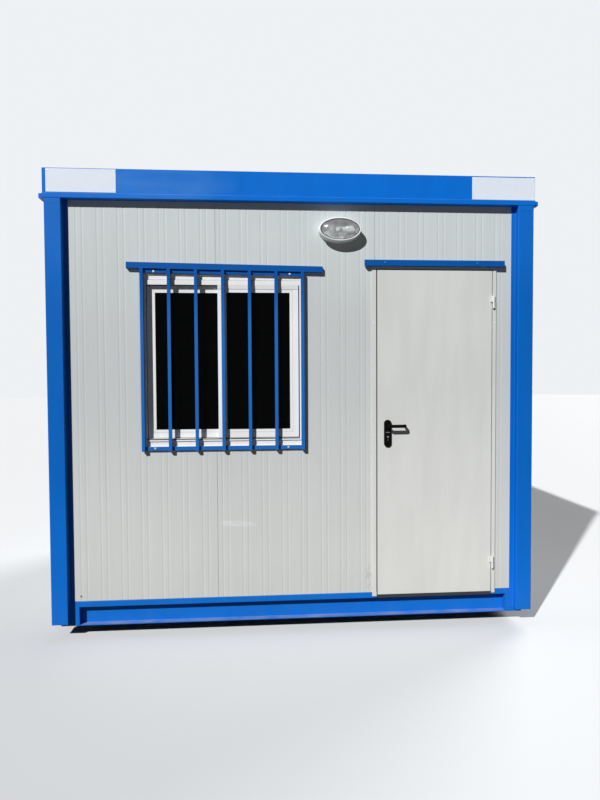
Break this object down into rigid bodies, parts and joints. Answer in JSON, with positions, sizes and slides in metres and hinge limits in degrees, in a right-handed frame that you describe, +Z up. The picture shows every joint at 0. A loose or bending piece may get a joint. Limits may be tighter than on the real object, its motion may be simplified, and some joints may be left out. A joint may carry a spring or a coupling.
{
  "type": "portable cabin",
  "caption": "Portable cabin: blue folded-steel corner posts, base and roof fascia with pale grey panels, a barred sliding window, an outward door with lever handle and an oval wall lamp.",
  "frame": {"origin": "At ground level, in the middle of the cabin's bounding box as seen from above", "axes": "+X runs along the front to the right as seen from the front, +Y from the front wall to the back wall, +Z up"},
  "size_m": [3.098, 2.469, 2.871],
  "materials": {
    "frame_blue": "satin",
    "fascia_blue": "satin",
    "trim_blue": "satin",
    "dark_steel": "matte",
    "deck_board": "matte",
    "panel_grey": "satin",
    "window_white": "satin",
    "window_glass": "polished",
    "door_pale": "satin",
    "mill_aluminium": "satin",
    "hinge_steel": "satin",
    "handle_black": "matte",
    "lamp_grey": "matte",
    "lamp_lens": "polished"
  },
  "bodies": {
    "cabin": {"post_front_left": "frame_blue", "post_front_right": "frame_blue", "post_back_left": "frame_blue", "post_back_right": "frame_blue", "base_corners": "frame_blue", "base_rail_front": "frame_blue", "base_rail_back": "frame_blue", "base_rail_left": "frame_blue", "base_rail_right": "frame_blue", "feet": "dark_steel", "floor_joists": "dark_steel", "floor_deck": "deck_board", "fascia_front": "fascia_blue", "fascia_back": "fascia_blue", "fascia_left": "fascia_blue", "fascia_right": "fascia_blue", "roof_panel_left": "panel_grey", "roof_panel_centre": "panel_grey", "roof_panel_right": "panel_grey", "wall_front_left": "panel_grey", "wall_front_centre": "panel_grey", "wall_front_over_door": "panel_grey", "wall_front_right": "panel_grey", "wall_back_left": "panel_grey", "wall_back_centre": "panel_grey", "wall_back_right": "panel_grey", "wall_left_front": "panel_grey", "wall_left_middle": "panel_grey", "wall_left_rear": "panel_grey", "wall_right_front": "panel_grey", "wall_right_middle": "panel_grey", "wall_right_rear": "panel_grey", "window_frame": "window_white", "sash_left": "window_white", "sash_right": "window_white", "glass_left": "window_glass", "glass_right": "window_glass", "window_grille": "trim_blue", "window_cap": "trim_blue", "door_frame": "door_pale", "door_threshold": "mill_aluminium", "door_cap": "trim_blue", "hinge_halves_frame": "hinge_steel", "lamp_body": "lamp_grey", "lamp_glass": "lamp_lens"},
    "door": {"door_leaf": "door_pale", "hinge_halves_leaf": "hinge_steel", "handle_plates": "handle_black"},
    "lever": {"lever_handles": "handle_black"}
  },
  "joints": [
    {"name": "door_hinge", "type": "hinge", "parent": "cabin", "child": "door", "pos_m": [1.2685, -1.1685, 1.25], "axis": [0, 0, 1], "range_deg": [0, 150]},
    {"name": "lever_turn", "type": "hinge", "parent": "door", "child": "lever", "pos_m": [0.58, -1.1405, 1.2955], "axis": [0, 1, 0], "range_deg": [0, 40], "stiffness_Nm_per_rad": 2, "springref_deg": -20.05}
  ]
}
